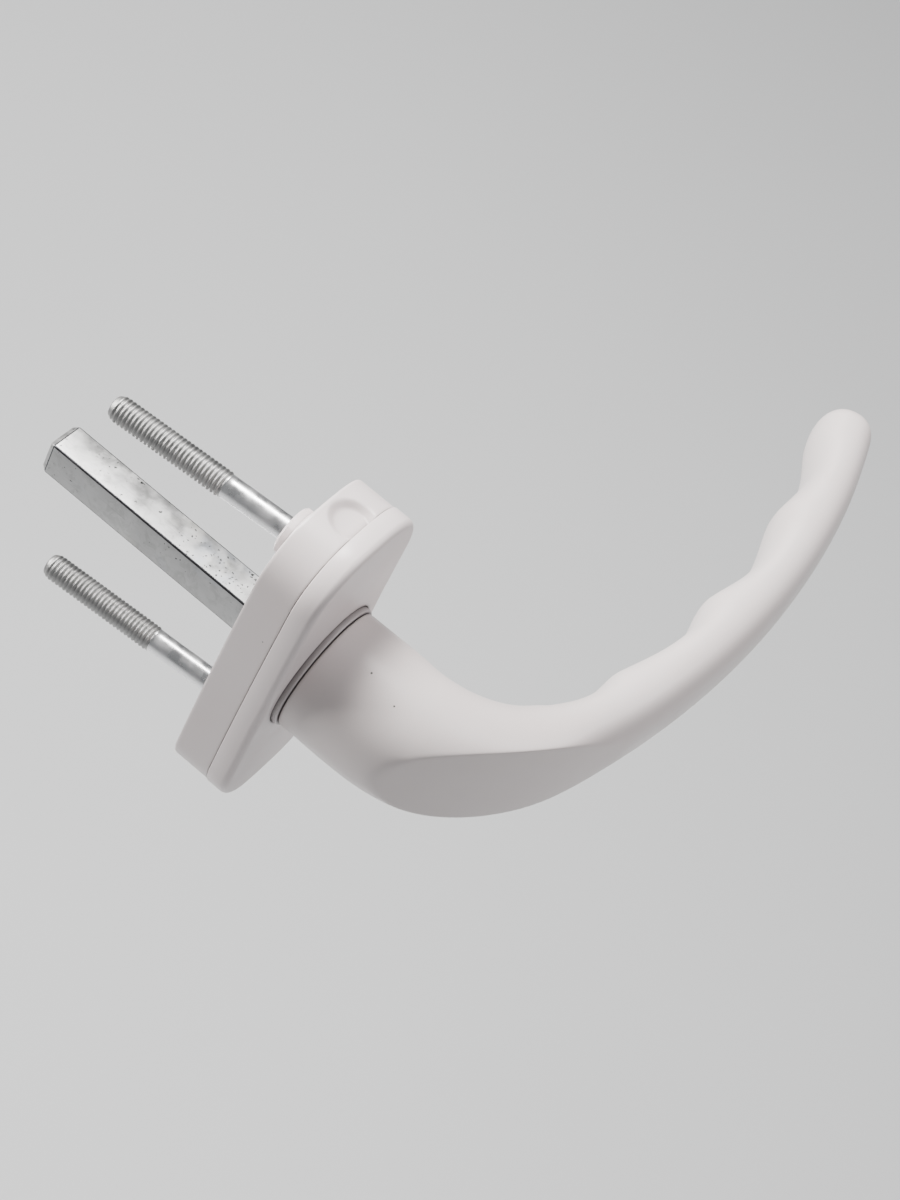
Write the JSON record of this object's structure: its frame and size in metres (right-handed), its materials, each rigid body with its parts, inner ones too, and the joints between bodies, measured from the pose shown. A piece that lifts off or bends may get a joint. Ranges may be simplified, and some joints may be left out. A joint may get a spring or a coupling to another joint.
{
  "type": "tilt and turn window handle",
  "caption": "Curved tilt and turn window handle with finger grips on a rounded rose, with a square spindle and long fixing screws behind.",
  "frame": {"origin": "centre of the rose's mounting face, on the spindle axis", "axes": "+Y into the sash along the spindle, -Y towards the user, +Z along the rose's long side, +X along the lever's arm in the turn position"},
  "size_m": [0.1487, 0.1101, 0.0652],
  "materials": {
    "coated_aluminium": "white powder coat",
    "white_plastic": "satin white",
    "grey_plastic": "matt light grey",
    "bright_zinc": "bright zinc plate",
    "plain_steel": "plain",
    "nylon": "natural nylon"
  },
  "bodies": {
    "rose": {"base_plate": "white_plastic", "collar_bush": "grey_plastic", "back_plate": "plain_steel", "back_plate_rivet_1": "plain_steel", "back_plate_rivet_2": "plain_steel", "back_plate_rivet_3": "plain_steel", "back_plate_rivet_4": "plain_steel", "friction_washer": "nylon", "detent_spring_upper": "plain_steel", "detent_spring_lower": "plain_steel"},
    "handle": {"lever": "coated_aluminium", "spindle": "bright_zinc", "spindle_grub_screw": "plain_steel", "index_disc": "plain_steel", "thrust_washer": "nylon", "retaining_ring": "plain_steel"},
    "cover_guide": {"cover_slide_ring": "nylon"},
    "cover": {"cover_cap": "white_plastic"},
    "ball_upper": {"detent_ball_upper": "plain_steel"},
    "ball_lower": {"detent_ball_lower": "plain_steel"},
    "fixing_screw_upper": {"screw_upper": "bright_zinc"},
    "fixing_screw_lower": {"screw_lower": "bright_zinc"}
  },
  "joints": [
    {"name": "lever_turn", "type": "hinge", "parent": "rose", "child": "handle", "pos_m": [0, 0, 0], "axis": [0, -1, 0], "range_deg": [-90, 90]},
    {"name": "cover_lift", "type": "slide", "parent": "rose", "child": "cover_guide", "axis": [0, -1, 0], "range_m": [0, 0.005]},
    {"name": "cover_turn", "type": "hinge", "parent": "cover_guide", "child": "cover", "pos_m": [0, 0, 0], "axis": [0, -1, 0], "range_deg": [-90, 90]},
    {"name": "detent_upper", "type": "slide", "parent": "rose", "child": "ball_upper", "axis": [0, 0, 1], "range_m": [0, 0.0006], "stiffness_N_per_m": 600, "springref_m": -0.002, "deforming": ["detent_spring_upper"]},
    {"name": "detent_lower", "type": "slide", "parent": "rose", "child": "ball_lower", "axis": [0, 0, -1], "range_m": [0, 0.0006], "stiffness_N_per_m": 600, "springref_m": -0.002, "deforming": ["detent_spring_lower"]},
    {"name": "screw_upper_turn", "type": "hinge", "parent": "rose", "child": "fixing_screw_upper", "pos_m": [0, -0.0024, 0.0215], "axis": [-0.0506, 0.9977, -0.0453], "continuous": true},
    {"name": "screw_lower_turn", "type": "hinge", "parent": "rose", "child": "fixing_screw_lower", "pos_m": [0, -0.0024, -0.0215], "axis": [-0.0506, 0.9977, -0.0453], "continuous": true}
  ]
}
